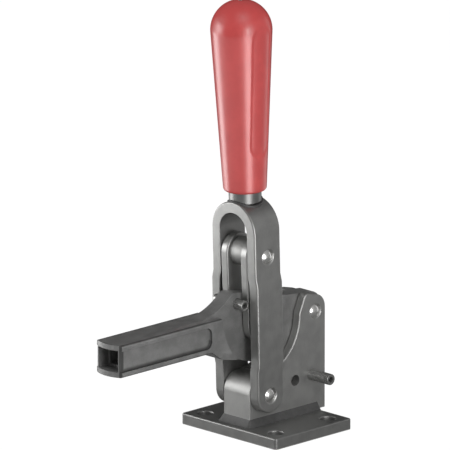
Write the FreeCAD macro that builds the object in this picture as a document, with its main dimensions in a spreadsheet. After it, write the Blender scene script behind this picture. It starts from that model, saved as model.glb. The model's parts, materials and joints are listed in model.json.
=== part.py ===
import FreeCAD, Part
import math
import os
import re
import Sketcher
from FreeCAD import Placement, Rotation, Vector

# Vertical-handle toggle clamp on a flanged base, closed, with its handle upright.
# X runs forward along the clamping arm, Y to the left, Z up, in millimetres.
# The origin is the centre of the four base bolts, on the underside of the base plate.

doc = FreeCAD.newDocument("ToggleClamp")
sheet = doc.addObject("Spreadsheet::Sheet", "Sizes")

DRIVING = {
    # Base plate and its bolt holes
    "plate_length": 60.0,
    "plate_width": 75.0,
    "plate_thick": 6.4,
    "plate_corner": 1.5,
    "bolt_edge": 9.5,
    "bolt_hole": 9.0,
    "edge_break": 0.5,
    # Pivots, seen from the side, each placed from the one before
    "handle_pivot_along": 13.35,
    "handle_pivot_height": 24.15,
    "strap_pivot_span": 80.9,
    "handle_lean": 1.8,
    "toggle_ahead": 0.7,
    "link_rise": 40.46,
    "arm_pivot_back": 42.5,
    "arm_pivot_drop": 1.1,
    # Pins, bushes and their fits
    "pin_size": 8.0,
    "pin_dome": 0.7,
    "pin_hole_chamfer": 0.65,
    "running_fit": 0.05,
    "bush_size": 12.0,
    "side_play": 0.2,
    # Body: two side plates with a block between them
    "slot_width": 10.7,
    "side_plate_thick": 5.0,
    "body_behind_pivot": 8.05,
    "boss_round": 10.25,
    "side_top_ahead": 7.4,
    "side_top_rise": 12.0,
    "side_rear_rise": 8.05,
    "throat_ahead": 12.35,
    "side_front_round": 3.0,
    "side_rear_round": 8.5,
    "block_seat_length": 12.0,
    "block_step_run": 7.0,
    "block_low_height": 20.5,
    "weld_leg": 3.2,
    "weld_rise": 4.2,
    # Stop pins
    "stop_pin_size": 6.4,
    "stop_pin_bore": 3.2,
    "stop_pin_break": 0.5,
    "handle_stop_along": -25.25,
    "handle_stop_height": 27.45,
    "handle_stop_overhang": 15.7,
    "second_stop_along": -12.55,
    "second_stop_height": 26.45,
    "arm_stop_rise": 13.5,
    "arm_stop_half": 11.4,
    "stop_gap": 0.25,
    # Handle strap, bent from flat bar
    "strap_stock": 6.35,
    "strap_width": 20.0,
    "strap_gap": 21.4,
    "strap_above_pin": 30.8,
    "joggle_depth": 1.15,
    "joggle_run": 4.7,
    "joggle_low_start": 14.6,
    "joggle_below_pin": 11.1,
    "strap_edge_break": 0.6,
    # Handle shank and grip
    "shank_size": 18.4,
    "shank_in_grip": 88.0,
    "shank_tip_size": 2.8,
    "shank_tip_proud": 0.9,
    "shank_weld": 0.8,
    "grip_lift": 5.5,
    "grip_length": 109.6,
    "grip_base_size": 24.5,
    "grip_top_size": 34.7,
    "grip_dome": 17.2,
    "grip_base_round": 1.6,
    # Toggle link: two plates with a spacer
    "link_width": 20.0,
    "link_thick": 5.0,
    "link_gap": 10.4,
    "spacer_size": 16.3,
    # Forged clamping arm
    "hub_thick": 9.5,
    "hub_boss_round": 10.6,
    "hub_low_along": 46.0,
    "hub_clearance": 8.05,
    "hub_rear_along": 22.0,
    "hub_rear_lift": 1.5,
    "hub_back_along": 16.8,
    "hub_back_rise": 12.0,
    "hub_crown_rise": 21.6,
    "hub_crown_round": 6.0,
    "arm_reach": 153.95,
    "bar_drop": 8.4,
    "bar_height": 18.4,
    "bar_width": 20.6,
    "bar_edge_round": 1.2,
    "bar_end_round": 18.8,
    "bar_root_round": 42.0,
    "shoulder_low": 61.55,
    "shoulder_low_drop": 15.85,
    "shoulder_top": 73.24,
    "shoulder_round": 41.0,
    "root_run": 15.26,
    "under_turn_ahead": 11.3,
    "under_turn_drop": 13.65,
    "under_root_ahead": 18.9,
    "panel_depth": 1.4,
    "panel_ahead": 8.06,
    "panel_border": 3.0,
    "panel_corner": 4.0,
    "socket_wall": 1.1,
    "socket_depth": 9.6,
    "socket_floor_ledge": 1.2,
    "socket_deep": 12.0,
}


def fillSheet():
    """Writes each driving size into its own cell, under its own alias."""
    for row, (alias, value) in enumerate(DRIVING.items(), start=1):
        sheet.set("A%d" % row, alias)
        sheet.set("B%d" % row, repr(value))
        sheet.setAlias("B%d" % row, alias)
    doc.recompute()


fillSheet()

# Places and sizes that follow from the driving ones, each a formula on other names
FOLLOWING = {
    "bolt_along": "plate_length / 2 - bolt_edge",
    "bolt_across": "plate_width / 2 - bolt_edge",
    "link_top_along": "handle_pivot_along + strap_pivot_span * sin(handle_lean)",
    "link_top_height": "handle_pivot_height + strap_pivot_span * cos(handle_lean)",
    "toggle_along": "handle_pivot_along + toggle_ahead",
    "toggle_height": "link_top_height - link_rise",
    "arm_pivot_along": "toggle_along - arm_pivot_back",
    "arm_pivot_height": "toggle_height - arm_pivot_drop",
    "toggle_x": "toggle_along - arm_pivot_along",
    "toggle_z": "toggle_height - arm_pivot_height",
    "toggle_rise": "toggle_height - handle_pivot_height",
    "toggle_reach": "sqrt(toggle_ahead^2 + toggle_rise^2)",
    "crest_along": "handle_pivot_along + boss_round * toggle_ahead / toggle_reach",
    "crest_height": "handle_pivot_height + boss_round * toggle_rise / toggle_reach",
    "throat_end": "arm_pivot_along + throat_ahead",
    "throat_run": "crest_along - throat_end",
    "throat_rise": "toggle_height - crest_height",
    "throat_round": "(throat_run^2 + throat_rise^2) / (2 * throat_rise)",
    "body_width": "slot_width + 2 * side_plate_thick",
    "body_front": "handle_pivot_along + boss_round",
    "body_rear": "arm_pivot_along - body_behind_pivot",
    "side_top_front": "arm_pivot_along + side_top_ahead",
    "side_top_height": "arm_pivot_height + side_top_rise",
    "side_top_rear_height": "arm_pivot_height + side_rear_rise",
    "arm_stop_height": "toggle_height + arm_stop_rise",
    "strap_height": "strap_pivot_span + strap_above_pin",
    "strap_outer": "strap_gap / 2 + strap_stock",
    "arch_centre": "strap_height - strap_outer",
    "joggle_low_end": "joggle_low_start + joggle_run",
    "joggle_high_end": "strap_pivot_span - joggle_below_pin",
    "joggle_high_start": "joggle_high_end - joggle_run",
    "grip_start": "strap_height + grip_lift",
    "bar_top": "bar_height - bar_drop",
    "bar_root": "shoulder_top + root_run",
    "panel_start": "shoulder_top + panel_ahead",
    "under_turn": "shoulder_low + under_turn_ahead",
    "bar_under_root": "shoulder_low + under_root_ahead",
    "hub_low_drop": "arm_pivot_height - handle_pivot_height - boss_round - hub_clearance",
    "hub_rear_drop": "hub_low_drop - hub_rear_lift",
}


def cell(word):
    """The sheet's cell for a driving name, or the formula of a following one."""
    if word[0] in FOLLOWING:
        return "(%s)" % formula(FOLLOWING[word[0]])
    return "Sizes." + word[0] if word[0] in DRIVING else word[0]


def formula(text):
    """Turns the names in a formula into references to the sheet."""
    return re.sub("[a-z_]+", cell, text)


def value(text):
    """The number that a formula gives with the sheet's present sizes."""
    return float(sheet.evalExpression(formula(text)))


LINK_LEAN = math.degrees(math.atan2(value("link_top_along - toggle_along"), value("link_rise")))
LINK_LENGTH = math.hypot(value("link_top_along - toggle_along"), value("link_rise"))
ORIGIN_FRAME = Placement()
ARM_FRAME = Placement(Vector(value("arm_pivot_along"), 0, value("arm_pivot_height")), Rotation())
HANDLE_FRAME = Placement(Vector(value("handle_pivot_along"), 0, value("handle_pivot_height")),
                         Rotation(Vector(0, 1, 0), value("handle_lean")))
LINK_FRAME = Placement(Vector(value("link_top_along"), 0, value("link_top_height")),
                       Rotation(Vector(0, 1, 0), LINK_LEAN))

pieces = []


def newBody(name, frame=ORIGIN_FRAME, across=0.0):
    """Starts a piece in its frame, moved across by a distance along Y."""
    body = doc.addObject("PartDesign::Body", name)
    body.Label = name
    body.Placement = frame * Placement(Vector(0, across, 0), Rotation())
    pieces.append(body)
    return body


def newSketch(body, role, offset=None):
    """Lays a sketch on one of the body's own origin planes, or parallel to it."""
    sketch = body.newObject("Sketcher::SketchObject", body.Name + "_sketch")
    plane = [item for item in body.Origin.OriginFeatures if item.Role == role][0]
    sketch.AttachmentSupport = (plane, [""])
    sketch.MapMode = "FlatFace"
    if offset is not None:
        sketch.setExpression("AttachmentOffset.Base.z", formula(offset))
    return sketch


def fix(sketch, kind, geometry, point, text):
    """Holds one coordinate of a point to a formula."""
    number = sketch.addConstraint(Sketcher.Constraint(kind, -1, 1, geometry, point, value(text)))
    sketch.setExpression("Constraints[%d]" % number, formula(text))


def drawOutline(sketch, corners, arcs=None):
    """Draws a closed outline. An edge in arcs is a round of the given radius, and its centre
    lies on the given hand of someone who walks the outline in order."""
    arcs = arcs or {}
    first = len(sketch.Geometry)
    points = [Vector(value(along), value(up), 0) for along, up in corners]
    ends = []
    for index, start in enumerate(points):
        stop = points[(index + 1) % len(points)]
        if index not in arcs:
            sketch.addGeometry(Part.LineSegment(start, stop))
            ends.append((1, 2))
            continue
        radius, hand = value(arcs[index][0]), arcs[index][1]
        chord = stop - start
        rise = math.sqrt(max(radius ** 2 - (chord.Length / 2) ** 2, 0.0))
        side = Vector(-chord.y, chord.x, 0).normalize() * (rise if hand == "left" else -rise)
        centre = (start + stop) * 0.5 + side
        begin, end = (start, stop) if hand == "left" else (stop, start)
        angles = [math.atan2(spot.y - centre.y, spot.x - centre.x) for spot in (begin, end)]
        circle = Part.Circle(centre, Vector(0, 0, 1), radius)
        sketch.addGeometry(Part.ArcOfCircle(circle, angles[0], angles[1]))
        ends.append((1, 2) if hand == "left" else (2, 1))
    for index, (along, up) in enumerate(corners):
        after = (index + 1) % len(corners)
        sketch.addConstraint(Sketcher.Constraint("Coincident", first + index, ends[index][1],
                                                 first + after, ends[after][0]))
        fix(sketch, "DistanceX", first + index, ends[index][0], along)
        fix(sketch, "DistanceY", first + index, ends[index][0], up)
        if index in arcs:
            number = sketch.addConstraint(
                Sketcher.Constraint("Radius", first + index, value(arcs[index][0])))
            sketch.setExpression("Constraints[%d]" % number, formula(arcs[index][0]))
    return sketch


def drawCircle(sketch, along, up, size):
    """Draws one hole's circle at its place."""
    index = len(sketch.Geometry)
    centre = Vector(value(along), value(up), 0)
    sketch.addGeometry(Part.Circle(centre, Vector(0, 0, 1), value(size) / 2))
    fix(sketch, "DistanceX", index, 3, along)
    fix(sketch, "DistanceY", index, 3, up)
    number = sketch.addConstraint(Sketcher.Constraint("Diameter", index, value(size)))
    sketch.setExpression("Constraints[%d]" % number, formula(size))
    return sketch


def extrude(body, kind, sketch, length, side="Symmetric"):
    """Pads or pockets a sketch by a length, half to each side unless told otherwise."""
    feature = body.newObject("PartDesign::" + kind, body.Name + "_" + kind.lower())
    feature.Profile = sketch
    feature.SideType = side
    feature.setExpression("Length", formula(length))
    doc.recompute()
    return feature


def turn(body, sketch, axis):
    """Revolves a sketch about its own horizontal or vertical axis."""
    feature = body.newObject("PartDesign::Revolution", body.Name + "_turned")
    feature.Profile = sketch
    feature.ReferenceAxis = (sketch, [axis])
    feature.Angle = 360
    doc.recompute()
    return feature


def ease(body, kind, size, chosen):
    """Rounds or bevels the edges of the piece so far that the test picks."""
    base = body.Tip
    names = ["Edge%d" % number for number, edge in enumerate(base.Shape.Edges, start=1)
             if chosen(edge)]
    feature = body.newObject("PartDesign::" + kind, body.Name + "_" + kind.lower())
    feature.Base = (base, names)
    feature.setExpression("Radius" if kind == "Fillet" else "Size", formula(size))
    doc.recompute()
    return feature


def lies(edge, **places):
    """Whether a whole edge lies at the given places along the named axes."""
    box = edge.BoundBox
    spans = {"x": (box.XMin, box.XMax), "y": (box.YMin, box.YMax), "z": (box.ZMin, box.ZMax)}
    return all(abs(end - place) < 0.02 for axis, place in places.items() for end in spans[axis])


def isCircle(edge):
    """Whether an edge is one full circle, such as the rim of a hole."""
    return len(edge.Vertexes) == 1


def makeBasePlate():
    """Flat flange with four bolt holes."""
    body = newBody("base_plate")
    half_long, half_wide = "plate_length / 2", "plate_width / 2"
    corners = [("-" + half_long, "-" + half_wide), (half_long, "-" + half_wide),
               (half_long, half_wide), ("-" + half_long, half_wide)]
    sketch = drawOutline(newSketch(body, "XY_Plane"), corners)
    extrude(body, "Pad", sketch, "plate_thick", "One side")
    ease(body, "Fillet", "plate_corner",
         lambda edge: abs(edge.BoundBox.ZLength - value("plate_thick")) < 0.01)
    holes = newSketch(body, "XY_Plane")
    for along in ("-bolt_along", "bolt_along"):
        for across in ("-bolt_across", "bolt_across"):
            drawCircle(holes, along, across, "bolt_hole")
    extrude(body, "Pocket", holes, "4 * plate_thick")
    ease(body, "Chamfer", "edge_break", lambda edge: lies(edge, z=value("plate_thick")))


def bodyProfile(sketch, tail):
    """Draws the outline that the side plates and the block share, from the foot's front round
    the boss to its top, and then the corners given as the tail."""
    corners = [("body_rear", "plate_thick"), ("body_front", "plate_thick"),
               ("body_front", "handle_pivot_height"), ("crest_along", "crest_height")]
    arcs = {2: ("boss_round", "left")}
    return corners + tail, arcs


def makeSidePlates():
    """The two upright plates that hold the pivots, welded to the flange."""
    throat = [("throat_end", "toggle_height"), ("side_top_front", "side_top_height"),
              ("body_rear", "side_top_rear_height")]
    for name, side in (("side_plate_left", 1), ("side_plate_right", -1)):
        middle = side * value("(slot_width + side_plate_thick) / 2")
        body = newBody(name, across=middle)
        sketch = newSketch(body, "XZ_Plane")
        corners, arcs = bodyProfile(sketch, throat)
        arcs[3] = ("throat_round", "right")
        extrude(body, "Pad", drawOutline(sketch, corners, arcs), "side_plate_thick")
        ease(body, "Fillet", "side_front_round",
             lambda edge: lies(edge, x=value("side_top_front"), z=value("side_top_height")))
        ease(body, "Fillet", "side_rear_round",
             lambda edge: lies(edge, x=value("body_rear"), z=value("side_top_rear_height")))
        holes = newSketch(body, "XZ_Plane")
        drawCircle(holes, "arm_pivot_along", "arm_pivot_height", "pin_size")
        drawCircle(holes, "handle_pivot_along", "handle_pivot_height", "pin_size")
        drawCircle(holes, "handle_stop_along", "handle_stop_height", "stop_pin_size")
        drawCircle(holes, "second_stop_along", "second_stop_height", "stop_pin_size")
        extrude(body, "Pocket", holes, "2 * side_plate_thick")
        face = side * value("side_plate_thick / 2")
        ease(body, "Chamfer", "pin_hole_chamfer",
             lambda edge: isCircle(edge) and lies(edge, y=face)
             and abs(edge.Curve.Center.x - value("arm_pivot_along")) < 0.01)
        ease(body, "Chamfer", "edge_break", lambda edge: lies(edge, y=face) and not isCircle(edge)
             and edge.BoundBox.ZMax > value("plate_thick") + 0.1)


def makeBodyBlock():
    """The filler between the side plates, with the boss that the handle pin goes through."""
    body = newBody("body_block")
    sketch = newSketch(body, "XZ_Plane")
    seat_end = "handle_pivot_along - block_seat_length"
    seat_height = "handle_pivot_height + boss_round"
    tail = [(seat_end, seat_height), (seat_end + " - block_step_run", "block_low_height"),
            ("body_rear", "block_low_height")]
    corners, arcs = bodyProfile(sketch, tail)
    extrude(body, "Pad", drawOutline(sketch, corners, arcs), "slot_width")
    hole = drawCircle(newSketch(body, "XZ_Plane"), "handle_pivot_along", "handle_pivot_height",
                      "pin_size")
    extrude(body, "Pocket", hole, "2 * slot_width")


def bindAll(item, formulas):
    """Binds several properties of a primitive to formulas on the sheet."""
    for name, text in formulas.items():
        item.setExpression(name, formula(text))
    return item


def makeWeld():
    """The fillet weld round the front and the two sides of the foot."""
    bead = doc.addObject("Part::Wedge", "weld_outside")
    bindAll(bead, {
        "Xmin": "-plate_length / 2", "X2min": "-plate_length / 2",
        "Xmax": "body_front + weld_leg", "X2max": "body_front",
        "Zmin": "-body_width / 2 - weld_leg", "Z2min": "-body_width / 2",
        "Zmax": "body_width / 2 + weld_leg", "Z2max": "body_width / 2",
        "Ymin": "plate_thick", "Ymax": "plate_thick + weld_rise"})
    bead.Placement = Placement(Vector(), Rotation(Vector(1, 0, 0), 90))
    foot = doc.addObject("Part::Box", "weld_inside")
    bindAll(foot, {"Length": "body_front - body_rear", "Width": "body_width",
                   "Height": "plate_thick + 2 * weld_rise",
                   "Placement.Base.x": "body_rear", "Placement.Base.y": "-body_width / 2"})
    weld = doc.addObject("Part::Cut", "foot_weld")
    weld.Base = bead
    weld.Tool = foot
    weld.Label = "foot_weld"
    pieces.append(weld)


def makeDomedPin(name, half_length, size, frame=ORIGIN_FRAME, place=("0", "0")):
    """A riveted pin across the clamp, with a low dome at each end."""
    spot = Vector(value(place[0]), 0, value(place[1]))
    body = newBody(name, frame * Placement(spot, Rotation()))
    crown = "((%s)^2 / 4 + pin_dome^2) / (2 * pin_dome)" % size
    corners = [("-(%s) - pin_dome" % half_length, "0"), ("-(%s)" % half_length, size + " / 2"),
               (half_length, size + " / 2"), ("%s + pin_dome" % half_length, "0")]
    sketch = drawOutline(newSketch(body, "YZ_Plane"), corners,
                         {0: (crown, "right"), 2: (crown, "right")})
    turn(body, sketch, "H_Axis")


def makePlainPin(name, half_length, size, frame, place=("0", "0")):
    """A length of round bar across the clamp, with square ends."""
    spot = Vector(value(place[0]), 0, value(place[1]))
    body = newBody(name, frame * Placement(spot, Rotation()))
    corners = [("-(%s)" % half_length, "0"), ("-(%s)" % half_length, size + " / 2"),
               (half_length, size + " / 2"), (half_length, "0")]
    turn(body, drawOutline(newSketch(body, "YZ_Plane"), corners), "H_Axis")


def makeArmPivotEnds():
    """The two ends of the arm's pivot pin, held in the side plates, with domed outer faces."""
    start, end = "slot_width / 2", "slot_width / 2 + side_plate_thick"
    crown = "(pin_size^2 / 4 + pin_dome^2) / (2 * pin_dome)"
    spot = Vector(value("arm_pivot_along"), 0, value("arm_pivot_height"))
    for name, half_turn in (("arm_pivot_pin_left", 0), ("arm_pivot_pin_right", 180)):
        body = newBody(name, Placement(spot, Rotation(Vector(0, 0, 1), half_turn)))
        corners = [(start, "0"), (start, "pin_size / 2"), (end, "pin_size / 2"),
                   (end + " + pin_dome", "0")]
        sketch = drawOutline(newSketch(body, "YZ_Plane"), corners, {2: (crown, "right")})
        turn(body, sketch, "H_Axis")


def makeTube(name, half_length, outside, inside, bevel, frame=ORIGIN_FRAME, place=("0", "0")):
    """A bush or a hollow stop pin across the clamp, bevelled at its ends."""
    spot = Vector(value(place[0]), 0, value(place[1]))
    body = newBody(name, frame * Placement(spot, Rotation()))
    bore = "(%s) / 2" % inside
    rim = "(%s) / 2" % outside
    corners = [("-(%s)" % half_length, bore), ("-(%s)" % half_length, "%s - %s" % (rim, bevel)),
               ("-(%s) + %s" % (half_length, bevel), rim), ("%s - %s" % (half_length, bevel), rim),
               (half_length, "%s - %s" % (rim, bevel)), (half_length, bore)]
    turn(body, drawOutline(newSketch(body, "YZ_Plane"), corners), "H_Axis")


def makeStrap():
    """The handle's strap: flat bar bent to an arch, with both legs joggled outwards."""
    body = newBody("handle_strap", HANDLE_FRAME)
    foot = "-strap_width / 2"
    heights = [(foot, ""), ("joggle_low_start", ""), ("joggle_low_end", " + joggle_depth"),
               ("joggle_high_start", " + joggle_depth"), ("joggle_high_end", ""), ("arch_centre", "")]
    outside, inside = "strap_outer", "strap_gap / 2"
    corners = [(outside + shift, height) for height, shift in heights]
    corners.append(("0", "strap_height"))
    corners += [("-(%s%s)" % (outside, shift), height) for height, shift in reversed(heights)]
    corners += [("-(%s%s)" % (inside, shift), height) for height, shift in heights]
    corners.append(("0", "arch_centre + " + inside))
    corners += [(inside + shift, height) for height, shift in reversed(heights)]
    outer_arch = len(heights) - 1
    inner_arch = 3 * len(heights)
    arcs = {outer_arch: (outside, "left"), outer_arch + 1: (outside, "left"),
            inner_arch: (inside, "right"), inner_arch + 1: (inside, "right")}
    extrude(body, "Pad", drawOutline(newSketch(body, "YZ_Plane"), corners, arcs), "strap_width")
    half = "strap_width / 2"
    past = "(strap_width / 2 + strap_stock)"
    ends = [("-" + past, "0"), ("-" + half, "0"), ("0", "-" + half), (half, "0"), (past, "0"),
            (past, "-" + past), ("-" + past, "-" + past)]
    sketch = drawOutline(newSketch(body, "XZ_Plane"), ends, {1: (half, "left"), 2: (half, "left")})
    extrude(body, "Pocket", sketch, "4 * (strap_gap + strap_stock)")
    edge_faces = [value(half), -value(half)]
    ease(body, "Chamfer", "strap_edge_break",
         lambda edge: any(lies(edge, x=face) for face in edge_faces) and isOutside(edge))
    holes = newSketch(body, "XZ_Plane")
    drawCircle(holes, "0", "0", "pin_size + 2 * running_fit")
    drawCircle(holes, "0", "strap_pivot_span", "pin_size")
    extrude(body, "Pocket", holes, "4 * (strap_gap + strap_stock)")
    ease(body, "Chamfer", "pin_hole_chamfer",
         lambda edge: isCircle(edge) and any(lies(edge, y=side * value("strap_outer"))
                                             for side in (1, -1)))


def isOutside(edge):
    """Whether an edge of the strap belongs to its outer contour."""
    middle = edge.valueAt((edge.FirstParameter + edge.LastParameter) / 2)
    above = max(middle.z - value("arch_centre"), 0.0)
    return math.hypot(middle.y, above) > value("strap_outer") - 0.1


def cylinder(name, radius, height, lift="0"):
    """An upright round bar on the handle's axis, from its lift up."""
    item = doc.addObject("Part::Cylinder", name)
    return bindAll(item, {"Radius": radius, "Height": height, "Placement.Base.z": lift})


def archDrum(name, radius):
    """A drum along X on the axis of the strap's arch."""
    drum = doc.addObject("Part::Cylinder", name)
    drum.Placement = Placement(Vector(0, 0, 0), Rotation(Vector(0, 1, 0), 90))
    return bindAll(drum, {"Radius": radius, "Height": "2 * strap_width",
                          "Placement.Base.x": "-strap_width", "Placement.Base.z": "arch_centre"})


def combine(kind, name, base, tool):
    """Cuts, keeps or joins two shapes into one."""
    result = doc.addObject("Part::" + kind, name)
    result.Base = base
    result.Tool = tool
    return result


def makeShank():
    """The steel bar that stands on the strap's arch and runs up through the grip."""
    top = "(grip_start + shank_in_grip)"
    bar = cylinder("shank_bar", "shank_size / 2", top + " - arch_centre", "arch_centre")
    tip = cylinder("shank_tip", "shank_tip_size / 2",
                   "grip_start + grip_length + shank_tip_proud - arch_centre", "arch_centre")
    joined = combine("Fuse", "shank_joined", bar, tip)
    shank = combine("Cut", "handle_shank", joined, archDrum("shank_seat", "strap_outer"))
    shank.Label = "handle_shank"
    shank.Placement = HANDLE_FRAME
    pieces.append(shank)
    ring = combine("Cut", "weld_ring",
                   cylinder("weld_round", "shank_size / 2 + shank_weld", "strap_height", "arch_centre"),
                   cylinder("weld_bore", "shank_size / 2", "2 * strap_height", "0"))
    skin = combine("Common", "weld_skin", ring,
                   archDrum("weld_reach", "strap_outer + shank_weld"))
    weld = combine("Cut", "shank_weld", skin, archDrum("weld_seat", "strap_outer"))
    weld.Label = "shank_weld"
    weld.Placement = HANDLE_FRAME
    pieces.append(weld)


def makeGrip():
    """The tapered plastic grip with its domed top, hollow for the shank."""
    body = newBody("grip", HANDLE_FRAME)
    dome_start = "grip_start + grip_length - grip_dome"
    hole_rise = "sqrt(grip_dome^2 - (shank_tip_size / 2 - grip_top_size / 2 + grip_dome)^2)"
    bore_top = "grip_start + shank_in_grip"
    corners = [("shank_size / 2", "grip_start"), ("grip_base_size / 2", "grip_start"),
               ("grip_top_size / 2", dome_start),
               ("shank_tip_size / 2", "%s + %s" % (dome_start, hole_rise)),
               ("shank_tip_size / 2", bore_top), ("shank_size / 2", bore_top)]
    sketch = drawOutline(newSketch(body, "XZ_Plane"), corners, {2: ("grip_dome", "left")})
    turn(body, sketch, "V_Axis")
    ease(body, "Fillet", "grip_base_round",
         lambda edge: isCircle(edge) and lies(edge, z=value("grip_start"))
         and edge.Curve.Radius > value("grip_base_size") / 2 - 0.1)


def makeLink():
    """The two toggle link plates and the spacer between them."""
    half = "link_width / 2"
    far = "-%.6f" % LINK_LENGTH
    corners = [(half, "0"), ("0", half), ("-" + half, "0"), ("-" + half, far),
               ("0", "%s - %s" % (far, half)), (half, far)]
    arcs = {0: (half, "left"), 1: (half, "left"), 3: (half, "left"), 4: (half, "left")}
    for name, side in (("link_plate_left", 1), ("link_plate_right", -1)):
        body = newBody(name, LINK_FRAME, side * value("(link_gap + link_thick) / 2"))
        extrude(body, "Pad", drawOutline(newSketch(body, "XZ_Plane"), corners, arcs), "link_thick")
        ease(body, "Chamfer", "edge_break", lambda edge: edge.BoundBox.YLength < 0.01)
        holes = newSketch(body, "XZ_Plane")
        drawCircle(holes, "0", "0", "pin_size + 2 * running_fit")
        drawCircle(holes, "0", far, "pin_size")
        extrude(body, "Pocket", holes, "2 * link_thick")
    makeTube("link_spacer", "link_gap / 2", "spacer_size", "pin_size + 2 * running_fit",
             "edge_break", LINK_FRAME)


def armStopPlace():
    """Where the arm's stop pin lies, just ahead of the link's front edge."""
    rise = value("arm_stop_height - toggle_height")
    ahead = value("link_width / 2 + stop_pin_size / 2 + stop_gap") / math.cos(math.radians(LINK_LEAN))
    along = value("toggle_along") + rise * math.tan(math.radians(LINK_LEAN)) + ahead
    return ("%.6f - arm_pivot_along" % along, "arm_stop_height - arm_pivot_height")


def makeArm():
    """The forged arm: a thin hub between the links, and an I-section bar with a cored end."""
    body = newBody("clamp_arm", ARM_FRAME)
    root_centre = "(bar_top + bar_root_round)"
    crown = "bar_root - sqrt(bar_root_round^2 - (%s - hub_crown_rise)^2)" % root_centre
    underside = [("shoulder_low", "-shoulder_low_drop"), ("under_turn", "-under_turn_drop"),
                 ("bar_under_root", "-bar_drop")]
    hub = [("hub_boss_round * cos(106)", "-hub_boss_round * sin(106)"),
           ("hub_rear_along", "-hub_rear_drop"), ("hub_low_along", "-hub_low_drop")]
    hub += underside
    hub += [("bar_root", "-bar_drop"), ("bar_root", "bar_top"), (crown, "hub_crown_rise"),
            ("hub_back_along", "hub_back_rise"),
            ("hub_boss_round * cos(101.6)", "hub_boss_round * sin(101.6)")]
    sketch = drawOutline(newSketch(body, "XZ_Plane"), hub,
                         {7: ("bar_root_round", "right"), 10: ("hub_boss_round", "left")})
    extrude(body, "Pad", sketch, "hub_thick")
    ease(body, "Fillet", "hub_crown_round",
         lambda edge: lies(edge, x=value(crown), z=value("hub_crown_rise")))
    bar = underside + [("arm_reach", "-bar_drop"), ("arm_reach", "bar_top"),
                       ("shoulder_top", "bar_top")]
    sketch = drawOutline(newSketch(body, "XZ_Plane"), bar, {5: ("shoulder_round", "right")})
    extrude(body, "Pad", sketch, "bar_width")
    faces = [value("bar_width / 2"), -value("bar_width / 2")]
    ease(body, "Fillet", "bar_edge_round",
         lambda edge: any(lies(edge, y=face) for face in faces)
         and edge.BoundBox.XMax > value("bar_root") + 1 and edge.BoundBox.XLength > 1)
    past = "(bar_width / 2 + 1)"
    corner = "arm_reach - bar_end_round + sqrt(bar_end_round^2 - %s^2)" % past
    end = [(corner, past), (corner, "-" + past), ("arm_reach + 1", "-" + past),
           ("arm_reach + 1", past)]
    sketch = drawOutline(newSketch(body, "XY_Plane"), end, {0: ("bar_end_round", "right")})
    extrude(body, "Pocket", sketch, "4 * bar_height")
    low, high = "-bar_drop + panel_border", "bar_top - panel_border"
    for face in ("bar_width / 2", "-bar_width / 2"):
        panel = [("panel_start", low), ("arm_reach + panel_border", low),
                 ("arm_reach + panel_border", high), ("panel_start", high)]
        sketch = drawOutline(newSketch(body, "XZ_Plane", face), panel)
        extrude(body, "Pocket", sketch, "2 * panel_depth")
    ease(body, "Fillet", "panel_corner",
         lambda edge: any(lies(edge, x=value("panel_start"), z=value(level)) for level in (low, high))
         and abs(edge.BoundBox.YLength - value("panel_depth")) < 0.1)
    half = "bar_width / 2 - panel_depth - socket_wall"
    for step, depth in (("0", "socket_depth"), ("socket_floor_ledge", "socket_depth + socket_deep")):
        socket = [("-(%s) + %s" % (half, step), "%s + %s" % (low, step)),
                  ("%s - %s" % (half, step), "%s + %s" % (low, step)),
                  ("%s - %s" % (half, step), "%s - %s" % (high, step)),
                  ("-(%s) + %s" % (half, step), "%s - %s" % (high, step))]
        sketch = drawOutline(newSketch(body, "YZ_Plane", "arm_reach"), socket)
        extrude(body, "Pocket", sketch, depth, "One side")
    holes = newSketch(body, "XZ_Plane")
    drawCircle(holes, "0", "0", "bush_size")
    drawCircle(holes, "toggle_x", "toggle_z", "bush_size")
    stop = armStopPlace()
    drawCircle(holes, stop[0], stop[1], "stop_pin_size")
    extrude(body, "Pocket", holes, "2 * hub_thick")


def makePins():
    """The pins, bushes and stop pins, each in the frame of what carries it."""
    running_bore = "pin_size + 2 * running_fit"
    makeArmPivotEnds()
    makePlainPin("arm_pivot_pin_middle", "slot_width / 2 - side_play", "pin_size", ARM_FRAME)
    makeTube("arm_pivot_bush", "slot_width / 2 - side_play", "bush_size", "pin_size",
             "edge_break", ARM_FRAME)
    makeDomedPin("handle_pivot_pin", "strap_outer", "pin_size",
                 place=("handle_pivot_along", "handle_pivot_height"))
    makeTube("handle_stop_pin", "body_width / 2 + handle_stop_overhang", "stop_pin_size",
             "stop_pin_bore", "stop_pin_break", place=("handle_stop_along", "handle_stop_height"))
    makeDomedPin("link_top_pin", "strap_outer", "pin_size", HANDLE_FRAME, ("0", "strap_pivot_span"))
    makePlainPin("toggle_pin", "link_gap / 2 + link_thick", "pin_size", LINK_FRAME,
                 ("0", "-%.6f" % LINK_LENGTH))
    makeTube("arm_toggle_bush", "link_gap / 2 - side_play", "bush_size", running_bore,
             "edge_break", ARM_FRAME, ("toggle_x", "toggle_z"))
    makeTube("arm_stop_pin", "arm_stop_half", "stop_pin_size", "stop_pin_bore", "stop_pin_break",
             ARM_FRAME, armStopPlace())


makeBasePlate()
makeSidePlates()
makeBodyBlock()
makeWeld()
makeStrap()
makeShank()
makeGrip()
makeLink()
makeArm()
makePins()
doc.recompute()

for item in doc.Objects:
    if "Invalid" in item.State or "Error" in item.State:
        raise RuntimeError("%s did not build: %s" % (item.Label, item.State))
for piece in pieces:
    if piece.Shape.isNull() or not piece.Shape.isValid() or not piece.Shape.Solids:
        raise RuntimeError("%s is not a sound solid" % piece.Label)

os.makedirs("parts", exist_ok=True)
for piece in pieces:
    piece.Shape.exportStep("parts/%s.step" % piece.Label)
    print("%-22s %d solid, %9.1f mm3" % (piece.Label, len(piece.Shape.Solids), piece.Shape.Volume))
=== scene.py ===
import math

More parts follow.
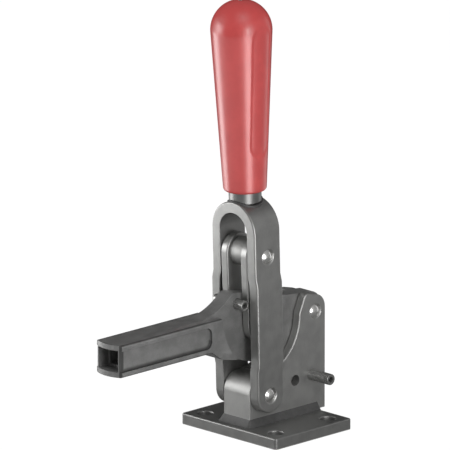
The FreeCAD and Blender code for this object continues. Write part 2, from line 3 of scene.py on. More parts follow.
import bpy
from mathutils import Matrix, Vector
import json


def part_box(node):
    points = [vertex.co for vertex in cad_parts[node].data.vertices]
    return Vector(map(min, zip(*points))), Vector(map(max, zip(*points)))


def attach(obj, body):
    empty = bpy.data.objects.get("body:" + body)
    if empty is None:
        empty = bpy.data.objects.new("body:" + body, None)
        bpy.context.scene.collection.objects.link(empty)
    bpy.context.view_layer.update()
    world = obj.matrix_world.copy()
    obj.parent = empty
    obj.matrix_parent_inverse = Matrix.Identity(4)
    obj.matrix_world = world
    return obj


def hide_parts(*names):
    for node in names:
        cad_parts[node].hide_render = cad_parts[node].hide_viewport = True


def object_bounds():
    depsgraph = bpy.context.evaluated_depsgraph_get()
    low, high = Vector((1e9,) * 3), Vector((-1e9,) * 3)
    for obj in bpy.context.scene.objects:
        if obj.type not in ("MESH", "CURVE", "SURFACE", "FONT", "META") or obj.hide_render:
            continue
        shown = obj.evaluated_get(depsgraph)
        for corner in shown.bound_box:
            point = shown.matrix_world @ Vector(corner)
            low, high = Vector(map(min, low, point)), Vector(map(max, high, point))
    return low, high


print("clamp: loading the frame")
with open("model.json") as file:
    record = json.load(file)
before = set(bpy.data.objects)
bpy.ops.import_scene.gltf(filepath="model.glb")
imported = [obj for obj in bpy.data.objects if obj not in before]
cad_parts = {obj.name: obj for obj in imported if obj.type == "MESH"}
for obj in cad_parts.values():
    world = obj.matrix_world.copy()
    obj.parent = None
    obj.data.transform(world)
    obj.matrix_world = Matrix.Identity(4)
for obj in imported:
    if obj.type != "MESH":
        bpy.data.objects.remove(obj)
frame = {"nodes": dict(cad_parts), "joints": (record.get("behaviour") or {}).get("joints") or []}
nodes = frame["nodes"]
joints = {joint["name"]: joint for joint in frame["joints"]}
cadBox = [list(corner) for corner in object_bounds()]
clampMiddle = (Vector(cadBox[0]) + Vector(cadBox[1])) / 2
mm = 0.001

# The handle leans along the line between its two pivots
handlePivot = Vector(joints["handle_pivot"]["pos_m"])
linkTop = Vector(joints["link_pivot"]["pos_m"])
handleAxis = (linkTop - handlePivot).normalized()


def placeOf(nodeName):  # a frame node's middle and its size
    low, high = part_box(nodeName)
    return (low + high) / 2, high - low


# Shader maths: a wire is an output socket that can be reckoned with


class Wire:
    def __init__(self, paint, socket):
        self.paint = paint
        self.socket = socket

    def reckon(self, operation, first, second):
        return self.paint.node("ShaderNodeMath", {"operation": operation}, {0: first, 1: second})

    def __add__(self, other):
        return self.reckon("ADD", self, other)

    def __radd__(self, other):
        return self.reckon("ADD", other, self)

    def __sub__(self, other):
        return self.reckon("SUBTRACT", self, other)

    def __rsub__(self, other):
        return self.reckon("SUBTRACT", other, self)

    def __mul__(self, other):
        return self.reckon("MULTIPLY", self, other)

    def __rmul__(self, other):
        return self.reckon("MULTIPLY", other, self)

    def __pow__(self, other):
        return self.reckon("POWER", self, other)

    def __abs__(self):
        return self.reckon("ABSOLUTE", self, 0.0)

    def atLeast(self, other):  # the greater of the two
        return self.reckon("MAXIMUM", self, other)

    def swing(self, share):  # noise from 0 to 1 as a swing to both sides of nothing
        return (self - 0.5) * share

    def mixedWith(self, other, share):  # this share of the one and the rest of the other
        return self * share + other * (1 - share)


class Paint:
    def __init__(self, owner):  # the owner is a new material or world
        owner.use_nodes = True
        self.owner = owner
        self.tree = owner.node_tree
        self.tree.nodes.clear()

    def node(self, kind, settings=None, sockets=None, output=0):
        made = self.tree.nodes.new(kind)
        for name, value in (settings or {}).items():
            setattr(made, name, value)
        for name, value in (sockets or {}).items():
            if isinstance(value, Wire):
                self.tree.links.new(value.socket, made.inputs[name])
            else:
                made.inputs[name].default_value = value
        return Wire(self, made.outputs[output]) if made.outputs else None

    def axes(self):  # the three coordinates of the place on the clamp, in metres
        place = self.node("ShaderNodeTexCoord", output="Object")
        parts = self.node("ShaderNodeSeparateXYZ", sockets={"Vector": place}).socket.node.outputs
        return [Wire(self, parts[axis]) for axis in ("X", "Y", "Z")]

    def noise(self, scale, detail=4, rough=0.55, stretch=(1, 1, 1), turn=(0, 0, 0)):
        place = self.node("ShaderNodeTexCoord", output="Object")
        spot = self.node("ShaderNodeMapping", sockets={
            "Vector": place, "Scale": stretch, "Rotation": turn})
        return self.node("ShaderNodeTexNoise", sockets={
            "Vector": spot, "Scale": scale, "Detail": detail, "Roughness": rough})

    def ramp(self, wire, low, high, bottom=0.0, top=1.0):  # a soft step from bottom to top
        return self.node("ShaderNodeMapRange", {"interpolation_type": "SMOOTHSTEP"}, {
            "Value": wire, "From Min": low, "From Max": high, "To Min": bottom, "To Max": top})

    def blend(self, amount, under, over):  # two colours
        return self.node("ShaderNodeMix", {"data_type": "RGBA"}, {
            0: amount, 6: under, 7: over}, output=2)

    def bump(self, height, look):  # each finish's dictionary says how strong and how deep
        return self.node("ShaderNodeBump", sockets={
            "Height": height, "Strength": look["bump"], "Distance": look["bump depth"]})

    def finish(self, **sockets):
        named = {name.replace("_", " "): value for name, value in sockets.items()}
        shader = self.node("ShaderNodeBsdfPrincipled", sockets=named)
        self.node("ShaderNodeOutputMaterial", sockets={"Surface": shader})
        return self.owner


# Finishes: scales are in waves a metre, tone is where the noise turns from dark to light


plateLook = {
    "light": (0.36, 0.36, 0.352, 1), "dark": (0.32, 0.32, 0.314, 1), "metal": 0.88, "rough": 0.38,
    "mottle": 160.0, "grain": 2600.0, "grain stretch": 14.0, "main share": 0.6, "tone": (0.36, 0.62),
    "mottle swing": 0.16, "grain swing": 0.10, "bump": 0.18, "bump depth": 0.03 * mm,
}


def shaded(colour, share):  # the same colour, lighter or darker, for painted shade
    red, green, blue = (channel * share for channel in colour[:3])
    return (red, green, blue, 1)


def plateSteel(name, grainTurn=(0, 0, 0), paintedShade=1.0, dull=0.0):  # cut and bent plate, dark and satin; a shade share below 1 darkens the copy as painted shade
    paint = Paint(bpy.data.materials.new(name))
    stretch, share = plateLook["grain stretch"], plateLook["main share"]
    mottle = paint.noise(plateLook["mottle"], detail=5)
    grain = paint.noise(plateLook["grain"] / stretch, detail=3, rough=0.6,
                        stretch=(stretch, stretch, 1), turn=grainTurn)
    tone = paint.ramp(mottle.mixedWith(grain, share), *plateLook["tone"])
    uneven = mottle.swing(plateLook["mottle swing"]) + grain.swing(plateLook["grain swing"])
    return paint.finish(
        Base_Color=paint.blend(tone, shaded(plateLook["dark"], paintedShade), shaded(plateLook["light"], paintedShade)),
        Roughness=plateLook["rough"] + dull + uneven,
        Metallic=plateLook["metal"],
        Normal=paint.bump(grain.mixedWith(mottle, share), plateLook))


recess = {  # the arm's shallow side recess, and the painted shade along its borders and at its tip
    "start": 52.85 * mm, "low": 58.05 * mm, "high": 70.45 * mm, "corner": 4.0 * mm, "rim": 10.1 * mm,
    # colour and strength of the painted shade
    "floor": 8.5 * mm, "tip": 121.0 * mm, "painted shade": (0.045, 0.045, 0.044, 1), "strength": 0.8,
    "wide": (0.5 * mm, 2.5 * mm), "wide fade": 2.0 * mm, "narrow": 1.0 * mm, "narrow share": 0.75,
    "tip fade": 0.8 * mm, "rim fade": 0.4 * mm, "floor fade": 0.2 * mm,
}


def paintedRecessShade(paint):  # painted shade: wide along the lower border, narrow along the others and dark at the tip
    along, beside, height = paint.axes()
    middle, half = (recess["low"] + recess["high"]) / 2, (recess["high"] - recess["low"]) / 2
    back = (recess["start"] + recess["corner"] - along).atLeast(0.0)
    edge = (abs(height - middle) - (half - recess["corner"])).atLeast(0.0)
    inwards = recess["corner"] - (back * back + edge * edge) ** 0.5
    lower = paint.ramp(height, middle - recess["wide fade"], middle, 1.0, 0.0)
    wide = paint.ramp(inwards, *recess["wide"], 1.0, 0.0) * lower
    narrow = paint.ramp(inwards, 0.0, recess["narrow"], recess["narrow share"], 0.0)
    tip = paint.ramp(along, recess["tip"] - recess["tip fade"], recess["tip"])
    sunk = paint.ramp(abs(beside), recess["rim"] - recess["rim fade"], recess["rim"], 1.0, 0.0)
    outer = paint.ramp(abs(beside), recess["floor"] - recess["floor fade"], recess["floor"])
    return wide.atLeast(narrow).atLeast(tip) * sunk * outer * recess["strength"]


forgedLook = {
    "light": (0.27, 0.27, 0.266, 1), "dark": (0.22, 0.22, 0.217, 1), "metal": 0.6, "rough": 0.44,
    "mottle": 160.0, "grit": 1500.0, "dent": 520.0, "mottle share": 0.7, "dent share": 0.6,
    "tone": (0.36, 0.64), "swing": 0.2, "bump": 0.3, "bump depth": 0.08 * mm,
}


def forgedSteel(name):  # the arm's blasted forging skin, finely pitted under a dark oxide, with painted shade along the recess borders and at its tip
    paint = Paint(bpy.data.materials.new(name))
    mottle = paint.noise(forgedLook["mottle"], detail=6)
    grit = paint.noise(forgedLook["grit"], detail=3, rough=0.6)
    dent = paint.noise(forgedLook["dent"], detail=2)
    tone = paint.ramp(mottle.mixedWith(grit, forgedLook["mottle share"]), *forgedLook["tone"])
    skin = paint.blend(tone, forgedLook["dark"], forgedLook["light"])
    return paint.finish(
        # painted shade laid over the skin along the recess borders and at the tip
        Base_Color=paint.blend(paintedRecessShade(paint), skin, recess["painted shade"]),
        Roughness=forgedLook["rough"] + mottle.swing(forgedLook["swing"]),
        Metallic=forgedLook["metal"],
        Normal=paint.bump(dent.mixedWith(grit, forgedLook["dent share"]), forgedLook))


pinLook = {  # ground and riveted pins and bushes
    "light": (0.80, 0.795, 0.78, 1), "dark": (0.72, 0.715, 0.70, 1), "metal": 1.0, "rough": 0.26,
    "mottle": 500.0, "detail": 4, "stretch": (1, 1, 1), "tone": (0.38, 0.62), "swing": 0.08,
    "bump": 0.05, "bump depth": 0.02 * mm,
}
tubeLook = {  # drawn tube of the two stop pins
    "light": (0.36, 0.36, 0.35, 1), "dark": (0.26, 0.26, 0.255, 1), "metal": 0.8, "rough": 0.28,
    "mottle": 500.0, "detail": 4, "stretch": (1, 0.12, 1), "tone": (0.36, 0.64), "swing": 0.16,
    "bump": 0.15, "bump depth": 0.03 * mm,
}
beadLook = {  # weld bead under the dark finish
    "light": (0.062, 0.062, 0.061, 1), "dark": (0.050, 0.050, 0.049, 1), "metal": 0.0, "rough": 0.55,
    "mottle": 420.0, "detail": 5, "stretch": (1, 1, 1), "tone": (0.38, 0.62), "swing": 0.2,
    "bump": 0.15, "bump depth": 0.05 * mm,
}


def mottledSteel(name, look):  # one fine mottle in its colour, its gloss and its height
    paint = Paint(bpy.data.materials.new(name))
    mottle = paint.noise(look["mottle"], look["detail"], stretch=look["stretch"])
    tone = paint.ramp(mottle, *look["tone"])
    return paint.finish(
        Base_Color=paint.blend(tone, look["dark"], look["light"]),
        Roughness=look["rough"] + mottle.swing(look["swing"]),
        Metallic=look["metal"],
        Normal=paint.bump(mottle, look))


gripLook = {
    "light": (0.61, 0.068, 0.066, 1), "dark": (0.56, 0.060, 0.058, 1), "rough": 0.31, "shine": 1.0,
    "cloud": 70.0, "orange peel": 900.0, "tone": (0.36, 0.64), "cloud swing": 0.06, "peel swing": 0.03,
    "bump": 0.03, "bump depth": 0.02 * mm,
}


def redPlastic(name):  # moulded plastic of the grip, softly glossy
    paint = Paint(bpy.data.materials.new(name))
    cloud = paint.noise(gripLook["cloud"], detail=4)
    peel = paint.noise(gripLook["orange peel"], detail=2)
    tone = paint.ramp(cloud, *gripLook["tone"])
    uneven = cloud.swing(gripLook["cloud swing"]) + peel.swing(gripLook["peel swing"])
    return paint.finish(
        Base_Color=paint.blend(tone, gripLook["dark"], gripLook["light"]),
        Roughness=gripLook["rough"] + uneven,
        Metallic=0.0,
        Specular_IOR_Level=gripLook["shine"],
        Normal=paint.bump(peel, gripLook))


print("clamp: mixing the finishes")
plateUp = plateSteel("plateSteel")
# the base plate's copy, darker by a tenth as painted shade for the dark reflections on its flange
plateAlong = plateSteel("plateSteelAlong", grainTurn=(0, math.radians(90), 0), paintedShade=0.90)
# the shank's copy, darker as painted shade against the bright streak it mirrors
shankSteel = plateSteel("shankSteel", paintedShade=0.6)
bodySteel = plateSteel("bodySteel", dull=0.12)
forged = forgedSteel("forgedSteel")
bright = mottledSteel("brightSteel", pinLook)
spring = mottledSteel("springSteel", tubeLook)
bead = mottledSteel("weldSteel", beadLook)
redGrip = redPlastic("redPlastic")


# Modelling helpers


bench = {  # gaps that are closed, and angles in degrees
    "join gap": 0.004 * mm, "flat to": 0.4, "ring gap": 0.001 * mm, "sharp from": 28.0, "soft to": 32.0,
}


def alone(piece):  # selects one piece and nothing else
    bpy.ops.object.select_all(action="DESELECT")
    piece.select_set(True)
    bpy.context.view_layer.objects.active = piece


def applyPlace(piece, place):  # puts a piece in its place, with that place in its mesh
    piece.matrix_world = place
    alone(piece)
    bpy.ops.object.transform_apply(location=True, rotation=True, scale=True)


def dress(piece, body, nodeNames, material):  # finish, body and the frame nodes it stands for
    piece.data.materials.clear()
    piece.data.materials.append(material)
    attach(piece, body)
    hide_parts(*nodeNames)


def joinFaces(piece):  # merges double points, and loose triangles to whole flat faces
    alone(piece)
    bpy.ops.object.mode_set(mode="EDIT")
    bpy.ops.mesh.select_all(action="SELECT")
    bpy.ops.mesh.remove_doubles(threshold=bench["join gap"])
    bpy.ops.mesh.dissolve_limited(angle_limit=math.radians(bench["flat to"]))
    bpy.ops.object.mode_set(mode="OBJECT")


def joinedCopy(nodeName):  # a frame node's form, with its faces joined
    piece = bpy.data.objects.new(nodeName + "_finished", nodes[nodeName].data.copy())
    bpy.context.collection.objects.link(piece)
    alone(piece)
    bpy.ops.object.mode_set(mode="EDIT")
    bpy.ops.mesh.customdata_custom_splitnormals_clear()
    bpy.ops.object.mode_set(mode="OBJECT")
    joinFaces(piece)
    return piece


def uniteWith(piece, other):  # welds another piece into this one
    alone(piece)
    joining = piece.modifiers.new("joining", "BOOLEAN")
    joining.operation = "UNION"
    joining.solver = "EXACT"
    joining.object = other
    bpy.ops.object.modifier_apply(modifier="joining")
    bpy.data.objects.remove(other)


def roundEdges(piece, width, segments=3):  # rounds every sharp edge and keeps the flats flat
    alone(piece)
    rounding = piece.modifiers.new("rounding", "BEVEL")
    rounding.width = width
    rounding.segments = segments
    rounding.limit_method = "ANGLE"
    rounding.angle_limit = math.radians(bench["sharp from"])
    rounding.use_clamp_overlap = True
    bpy.ops.object.modifier_apply(modifier="rounding")
    bpy.ops.object.shade_smooth()
    weighting = piece.modifiers.new("weighting", "WEIGHTED_NORMAL")
    weighting.keep_sharp = True
    bpy.ops.object.modifier_apply(modifier="weighting")


def turned(pieceName, stations, place, steps=72, looped=False):
    # drawn up ring by ring through its stations, each a height and a radius, then put in its place
    startHeight, startRadius = stations[0]
    bpy.ops.object.select_all(action="DESELECT")
    bpy.ops.mesh.primitive_circle_add(vertices=steps, radius=startRadius, location=(0, 0, startHeight),
                                      fill_type="NOTHING" if looped else "NGON")
    piece = bpy.context.object
    piece.name = pieceName
    bpy.ops.object.transform_apply(location=True, rotation=True, scale=True)
    bpy.ops.object.mode_set(mode="EDIT")
    bpy.ops.mesh.select_all(action="SELECT")
    for (low, radius), (high, wider) in zip(stations, stations[1:]):
        bpy.ops.mesh.extrude_region_move(TRANSFORM_OT_translate={"value": (0, 0, high - low)})
        bpy.ops.transform.resize(value=(wider / radius, wider / radius, 1), center_override=(0, 0, high))
    bpy.ops.mesh.select_all(action="SELECT")
    bpy.ops.mesh.remove_doubles(threshold=bench["ring gap"])
    bpy.ops.mesh.normals_make_consistent(inside=False)
    bpy.ops.object.mode_set(mode="OBJECT")
    applyPlace(piece, place)
    bpy.ops.object.shade_smooth_by_angle(angle=math.radians(bench["soft to"]))
    return piece


def across(spot):  # a turning axis that runs through the clamp from right to left
    return Matrix.Translation(spot) @ Matrix.Rotation(math.radians(-90), 4, "X")


def upHandle():  # a turning axis up the leaning handle, from its pivot
    turn = Vector((0, 0, 1)).rotation_difference(handleAxis).to_matrix().to_4x4()
    return Matrix.Translation(handlePivot) @ turn


def quarter(height, radius, reach, steps, outwards=True):
    # stations of a quarter round: outwards it starts flat, otherwise it ends flat
    stations = []
    for step in range(steps + 1):
        angle = math.radians(90) * step / steps
        rise, run = math.sin(angle), 1 - math.cos(angle)
        if outwards:
            stations.append((height + reach * run, radius + reach * rise))
        else:
            stations.append((height + reach * rise, radius - reach * run))
    return stations


# Plates, strap, block and arm: the frame's own forms with rounded edges


plateEdges = {  # node: body, how far its edges are rounded, finish
    "base_plate": ("base", 0.22 * mm, plateAlong),
    "handle_strap": ("handle", 0.30 * mm, plateUp),
    "link_plate_left": ("link", 0.22 * mm, plateUp),
    "link_plate_right": ("link", 0.22 * mm, plateUp),
}


def addPlates():
    for nodeName, (body, width, material) in plateEdges.items():
        plate = joinedCopy(nodeName)
        roundEdges(plate, width)
        dress(plate, body, [nodeName], material)


bodyShape = {"parts": ["body_block", "side_plate_left", "side_plate_right"], "edges": 0.3 * mm}


def addClampBody():  # both side plates and the block, dressed flush where they meet
    block, *sidePlates = bodyShape["parts"]
    clampBody = joinedCopy(block)
    for nodeName in sidePlates:
        uniteWith(clampBody, joinedCopy(nodeName))
    joinFaces(clampBody)
    roundEdges(clampBody, bodyShape["edges"])
    clampBody.name = "clamp_body"
    dress(clampBody, "base", bodyShape["parts"], bodySteel)


armShape = {"hub from": 73.6 * mm, "hub round": 2.3 * mm, "hub steps": 6, "hub sharp from": 50.0,
            "edges": 0.55 * mm, "edge steps": 4}


def addArm():  # the forging: a hub with soft shoulders, and smaller rounds on every other edge
    arm = joinedCopy("clamp_arm")
    alone(arm)
    bpy.ops.object.mode_set(mode="EDIT")
    bpy.ops.mesh.select_mode(type="EDGE")
    bpy.ops.mesh.select_all(action="DESELECT")
    bpy.ops.mesh.edges_select_sharp(sharpness=math.radians(armShape["hub sharp from"]))
    bpy.ops.object.mode_set(mode="OBJECT")
    points = arm.data.vertices
    for edge in arm.data.edges:
        if min(points[end].co.z for end in edge.vertices) < armShape["hub from"]:
            edge.select = False
    bpy.ops.object.mode_set(mode="EDIT")
    bpy.ops.mesh.bevel(offset=armShape["hub round"], segments=armShape["hub steps"], clamp_overlap=True)
    bpy.ops.mesh.select_mode(type="VERT")
    bpy.ops.object.mode_set(mode="OBJECT")
    roundEdges(arm, armShape["edges"], armShape["edge steps"])
    dress(arm, "arm", ["clamp_arm"], forged)


print("clamp: finishing plates, strap and arm")
addPlates()
addClampBody()
addArm()


# Weld beads


weldShape = {
    "slope": (0.1, 0.95), "cuts": 63, "hollow": 1.35, "ripple": 0.025 * mm, "pitch": 2.3 * mm,
    "slant": 2.0, "foot gap": 0.01 * mm, "soft to": 50.0, "shank edges": 0.3 * mm,
}


def addFootWeld():  # the sloped strip round the foot, hollowed and rippled like a laid bead
    low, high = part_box("foot_weld")
    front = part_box("body_block")[1].x
    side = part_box("side_plate_left")[1].y
    leg, rise = high.x - front, high.z - low.z
    steepest, flattest = weldShape["slope"]
    weld = joinedCopy("foot_weld")
    alone(weld)
    bpy.ops.object.mode_set(mode="EDIT")
    bpy.ops.mesh.select_all(action="DESELECT")
    bpy.ops.object.mode_set(mode="OBJECT")
    for face in weld.data.polygons:
        face.select = steepest < face.normal.z < flattest
    bpy.ops.object.mode_set(mode="EDIT")
    bpy.ops.mesh.subdivide(number_cuts=weldShape["cuts"])
    bpy.ops.object.mode_set(mode="OBJECT")
    for vertex in weld.data.vertices:
        spot = vertex.co
        ahead, beside = max(spot.x - front, 0), max(abs(spot.y) - side, 0)
        out = max(ahead, beside)
        if ahead > 0 and beside > 0:  # round the corner
            share = out / math.hypot(ahead, beside)
            spot.x = front + ahead * share
            spot.y = math.copysign(side + beside * share, spot.y)
        if spot.z < low.z + weldShape["foot gap"]:
            continue
        inside = max(1 - out / leg, 0)
        length = spot.x if beside >= ahead else spot.y
        wave = math.sin(length / weldShape["pitch"] * 2 * math.pi + weldShape["slant"] * out / leg)
        swell = 4 * inside * out / leg  # 1 at the strip's middle, 0 at its borders
        spot.z = low.z + rise * inside ** weldShape["hollow"] + weldShape["ripple"] * wave * swell
    weld.data.update()
    weld.name = "foot_weld_laid"
    alone(weld)
    bpy.ops.object.shade_smooth_by_angle(angle=math.radians(weldShape["soft to"]))
    dress(weld, "base", ["foot_weld"], bead)


def addShankWeld():
    weld = joinedCopy("shank_weld")
    roundEdges(weld, weldShape["shank edges"])
    dress(weld, "handle", ["shank_weld"], bead)


print("clamp: laying the welds")
addFootWeld()
addShankWeld()


# Pins, bushes and tubes


pinShape = {"radius": 4.0 * mm, "dome": 1.45 * mm, "edge": 0.45 * mm, "edge rise": 0.35, "crown": 0.02,
            "dome steps": 10}
pins = {  # node: body, whether its right end is domed, whether its left end is
    "handle_pivot_pin": ("base", True, True),
    "link_top_pin": ("handle", True, True),
    "arm_pivot_pin_left": ("base", False, True),
    "arm_pivot_pin_right": ("base", True, False),
    "arm_pivot_pin_middle": ("arm", False, False),
    "toggle_pin": ("link", False, False),
}


def headStations(height, domed):  # a pin's end from its edge to its middle, domed or cut flat
    radius, rise, steps = pinShape["radius"], pinShape["dome"], pinShape["dome steps"]
    inner = radius - pinShape["edge"]
    if not domed:
        return [(height, inner), (height, pinShape["crown"] * radius)]
    ball = (inner ** 2 + rise ** 2) / (2 * rise)
    reach = math.asin(inner / ball)
    stations = []
    for step in range(steps):
        angle = reach * (1 - step / steps)
        stations.append((height - (ball - rise) + ball * math.cos(angle), ball * math.sin(angle)))
    return stations + [(height + rise, pinShape["crown"] * inner)]


def pinStations(low, high, domedLow, domedHigh):  # heights are where the round bar ends
    radius, edgeRise = pinShape["radius"], pinShape["edge"] * pinShape["edge rise"]
    bottom = [(low - height, ring) for height, ring in reversed(headStations(0, domedLow))]
    bar = [(low + edgeRise, radius), (high - edgeRise, radius)]
    return bottom + bar + headStations(high, domedHigh)


def addPins():
    for nodeName, (body, domedLow, domedHigh) in pins.items():
        spot, size = placeOf(nodeName)
        low = -size.y / 2 + (pinShape["dome"] if domedLow else 0)
        high = size.y / 2 - (pinShape["dome"] if domedHigh else 0)
        pin = turned(nodeName + "_turned", pinStations(low, high, domedLow, domedHigh), across(spot))
        dress(pin, body, [nodeName], bright)


tubeShape = {"ease": 0.4, "mouth": 0.3, "rim steps": 5, "steps": 64}
tubes = {  # node: body, slot, finish, radius of its bore, rounding of its rims
    "link_spacer": ("link", "bright_steel", bodySteel, 4.05 * mm, 0.5 * mm),
    "arm_pivot_bush": ("arm", "bright_steel", bright, 4.0 * mm, 0.5 * mm),
    "arm_toggle_bush": ("arm", "bright_steel", bright, 4.05 * mm, 0.5 * mm),
    "handle_stop_pin": ("base", "spring_steel", spring, 1.6 * mm, 0.55 * mm),
    "arm_stop_pin": ("arm", "spring_steel", spring, 1.6 * mm, 0.55 * mm),
}


def addTubes():  # each across the clamp, its rims rounded outside and eased inside
    for nodeName, (body, slot, material, bore, lead) in tubes.items():
        spot, size = placeOf(nodeName)
        half, radius = size.y / 2, size.z / 2
        ease = lead * tubeShape["ease"]
        lip = ease * tubeShape["mouth"]
        rim = quarter(half - lead, radius, lead, tubeShape["rim steps"], outwards=False)
        top = rim + [(half, bore + ease), (half - lip, bore + lip), (half - ease, bore)]
        bottom = [(-height, ring) for height, ring in reversed(top)]
        tube = turned(nodeName + "_turned", bottom + top + bottom[:1], across(spot),
                      steps=tubeShape["steps"], looped=True)
        dress(tube, body, [nodeName], material)


print("clamp: turning pins and tubes")
addPins()
addTubes()


# Handle: heights are measured up the handle from its pivot


shankShape = {  # the crown's rings are depths under the tip and shares of its radius
    "foot lift": 2.0 * mm, "radius": 9.2 * mm, "end": 205.2 * mm, "tip radius": 1.4 * mm,
    "tip proud": 0.9 * mm, "crown": [(0.5 * mm, 1.0), (0.2 * mm, 0.9), (0.0, 0.5), (0.0, 0.05)],
    "steps": 96,
}
gripShape = {
    "start": 117.2 * mm, "length": 109.6 * mm, "base radius": 12.25 * mm, "top radius": 17.35 * mm,
    "dome": 17.2 * mm, "foot round": 1.6 * mm, "steps": 168, "rings": 84, "dome steps": 24,
    "foot steps": 6,
}
fieldShape = {"low": 138.0 * mm, "high": 214.0 * mm, "half width": 7.2 * mm, "depth": 0.45 * mm,
              "lip": 0.9 * mm, "wall": 0.5 * mm}


def gripStations():  # down the bore's wall, round the foot, up the taper and over the dome
    bore, boreEnd, tipRadius = shankShape["radius"], shankShape["end"], shankShape["tip radius"]
    footRound, dome = gripShape["foot round"], gripShape["dome"]
    start, rings, domeSteps = gripShape["start"], gripShape["rings"], gripShape["dome steps"]
    foot = quarter(start, gripShape["base radius"] - footRound, footRound, gripShape["foot steps"])
    footTop, footRadius = foot[-1]
    domeStart = start + gripShape["length"] - dome
    stations = [(boreEnd, bore), (start, bore)] + foot
    for ring in range(1, rings + 1):
        share = ring / rings
        radius = footRadius + (gripShape["top radius"] - footRadius) * share
        stations.append((footTop + (domeStart - footTop) * share, radius))
    for step in range(1, domeSteps + 1):
        angle = math.radians(90) * step / domeSteps
        radius = gripShape["top radius"] - dome + dome * math.cos(angle)
        stations.append((domeStart + dome * math.sin(angle), max(radius, tipRadius)))
    return stations + [(boreEnd, tipRadius), (boreEnd, bore)]


def sinkField(grip):  # a plain long field with round ends, sunk a little into the grip's left side
    low = fieldShape["low"] + fieldShape["half width"]
    high = fieldShape["high"] - fieldShape["half width"]
    for vertex in grip.data.vertices:
        spot = vertex.co
        outside = Vector((spot.x, spot.y, 0))
        if spot.y < 0 or outside.length < shankShape["radius"] + fieldShape["wall"]:
            continue
        along = math.atan2(spot.x, spot.y) * outside.length
        beyond = max(low - spot.z, 0, spot.z - high)
        inside = fieldShape["half width"] - math.hypot(along, beyond)
        share = min(max(inside / fieldShape["lip"], 0), 1)
        sink = fieldShape["depth"] * share * share * (3 - 2 * share)
        vertex.co = spot - outside.normalized() * sink
    grip.data.update()


def addGrip():
    grip = turned("grip_moulded", gripStations(), Matrix.Identity(4), gripShape["steps"], looped=True)
    sinkField(grip)
    applyPlace(grip, upHandle())
    dress(grip, "handle", ["grip"], redGrip)


def addShank():  # it stands in its weld and runs up through the grip to a small dark tip
    low = (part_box("handle_shank")[0].z - handlePivot.z) / handleAxis.z + shankShape["foot lift"]
    top, radius, tipRadius = shankShape["end"], shankShape["radius"], shankShape["tip radius"]
    tip = gripShape["start"] + gripShape["length"] + shankShape["tip proud"]
    crown = [(tip - depth, tipRadius * share) for depth, share in shankShape["crown"]]
    stations = [(low, radius), (top, radius), (top, tipRadius)] + crown
    shank = turned("handle_shank_turned", stations, upHandle(), shankShape["steps"])
    dress(shank, "handle", ["handle_shank"], shankSteel)


print("clamp: moulding the grip")
addGrip()
addShank()


# Stage: pale floor, lamps, cards for painted reflections and camera


stageLook = {"floor": 40.0, "floor colour": (0.6, 0.6, 0.6, 1), "white": 1.1, "shadow share": 0.10,
             "ambient": 0.42}
lamps = {  # name: azimuth and elevation seen as in the views, distance, width, height, watts
    "key": (42, 14, 1.2, 0.6, 0.9, 5.9),
    "side": (165, 8, 1.3, 0.30, 0.9, 7.5),
    "top": (150, 60, 1.3, 0.7, 0.7, 3.6),
}
cards = {  # painted reflections, name: azimuth and elevation, distance, width, height, grey that polished metal sees there
    "right": (208, 0, 0.30, 0.56, 0.60, 0.33),
    "back": (315, 10, 0.40, 0.90, 0.60, 0.05),
    "front": (104, 0, 0.50, 0.84, 0.90, 0.12),
    "low": (135, -90, 0.1255, 0.60, 0.60, 0.20),
    "streak": (165, -9, 0.275, 0.130, 0.17, 5.4),
    "rim": (20, -9, 0.295, 0.145, 0.17, 4.8),
    "ceiling": (135, 90, 0.30, 1.3, 1.3, 0.14),
}
lens = {"azimuth": 135.2, "elevation": 15.4, "length": 1000.0, "sensor": 36.0, "view width": 0.25196,
        "target": Vector((5.84, -27.07, 113.08)) * mm, "near": 0.05, "far": 200.0}


def standRound(thing, target, azimuth, elevation, distance):  # out at that angle, facing the target
    turn, rise = math.radians(azimuth), math.radians(elevation)
    way = Vector((math.sin(turn) * math.cos(rise), -math.cos(turn) * math.cos(rise), math.sin(rise)))
    thing.location = target + way * distance
    thing.rotation_euler = (-way).to_track_quat("-Z", "Y").to_euler()


def whiteToCamera(paint, share):  # 1 for rays that see the background, times a share
    path = paint.node("ShaderNodeLightPath", output="Is Camera Ray")
    rays = path.socket.node.outputs
    seen = path + Wire(paint, rays["Is Glossy Ray"]) + Wire(paint, rays["Is Transmission Ray"])
    return seen * share


def addSheet(name, paint, surface, size, cuts):  # a flat sheet that isn't part of the clamp
    bpy.ops.object.select_all(action="DESELECT")
    bpy.ops.mesh.primitive_grid_add(size=size, x_subdivisions=cuts, y_subdivisions=cuts)
    sheet = bpy.context.object
    sheet.name = name
    paint.node("ShaderNodeOutputMaterial", sockets={"Surface": surface})
    sheet.data.materials.append(paint.owner)
    return sheet


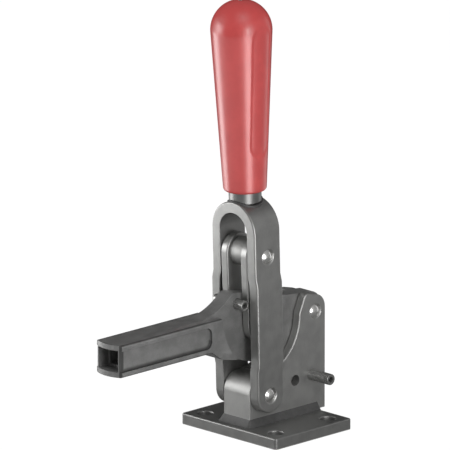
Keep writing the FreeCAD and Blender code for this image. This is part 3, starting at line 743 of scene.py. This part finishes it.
def addFloor():
    paint = Paint(bpy.data.materials.new("paleFloor"))
    lit = paint.node("ShaderNodeBsdfDiffuse", sockets={"Color": stageLook["floor colour"]})
    glow = paint.node("ShaderNodeEmission", sockets={"Color": (1, 1, 1, 1), "Strength": stageLook["white"]})
    mixed = paint.node("ShaderNodeMixShader", sockets={
        0: whiteToCamera(paint, 1 - stageLook["shadow share"]), 1: lit, 2: glow})
    addSheet("floor", paint, mixed, size=stageLook["floor"], cuts=4)


def addWorld():
    paint = Paint(bpy.data.worlds.new("studio"))
    level = whiteToCamera(paint, 1 - stageLook["ambient"]) + stageLook["ambient"]
    light = paint.node("ShaderNodeBackground", sockets={"Color": (1, 1, 1, 1), "Strength": level})
    paint.node("ShaderNodeOutputWorld", sockets={"Surface": light})
    bpy.context.scene.world = paint.owner


def addLamps():
    for name, (azimuth, elevation, distance, width, height, watts) in lamps.items():
        bpy.ops.object.light_add(type="AREA")
        lamp = bpy.context.object
        lamp.name = name
        lamp.data.shape = "RECTANGLE"
        lamp.data.size = width
        lamp.data.size_y = height
        lamp.data.energy = watts
        standRound(lamp, clampMiddle, azimuth, elevation, distance)


def addCards():  # grey and white cards that only mirror rays see: dark ones paint shade into the reflections, bright ones paint highlights
    for name, (azimuth, elevation, distance, width, height, grey) in cards.items():
        paint = Paint(bpy.data.materials.new(name + " card"))
        glow = paint.node("ShaderNodeEmission", sockets={"Color": (grey, grey, grey, 1), "Strength": 1.0})
        card = addSheet(name + " card", paint, glow, size=1, cuts=2)
        card.scale = (width, height, 1)
        for sight in ("camera", "diffuse", "transmission", "shadow"):
            setattr(card, "visible_" + sight, False)
        standRound(card, clampMiddle, azimuth, elevation, distance)


def addCamera():
    bpy.ops.object.camera_add()
    camera = bpy.context.object
    camera.data.sensor_width = lens["sensor"]
    camera.data.lens = lens["length"]
    camera.data.clip_start = lens["near"]
    camera.data.clip_end = lens["far"]
    distance = lens["view width"] * lens["length"] / lens["sensor"]
    standRound(camera, lens["target"], lens["azimuth"], lens["elevation"], distance)
    bpy.context.scene.camera = camera


print("clamp: setting the stage")
addFloor()
addWorld()
addLamps()
addCards()
addCamera()
bpy.context.scene.view_settings.view_transform = "Standard"

print("clamp: done")
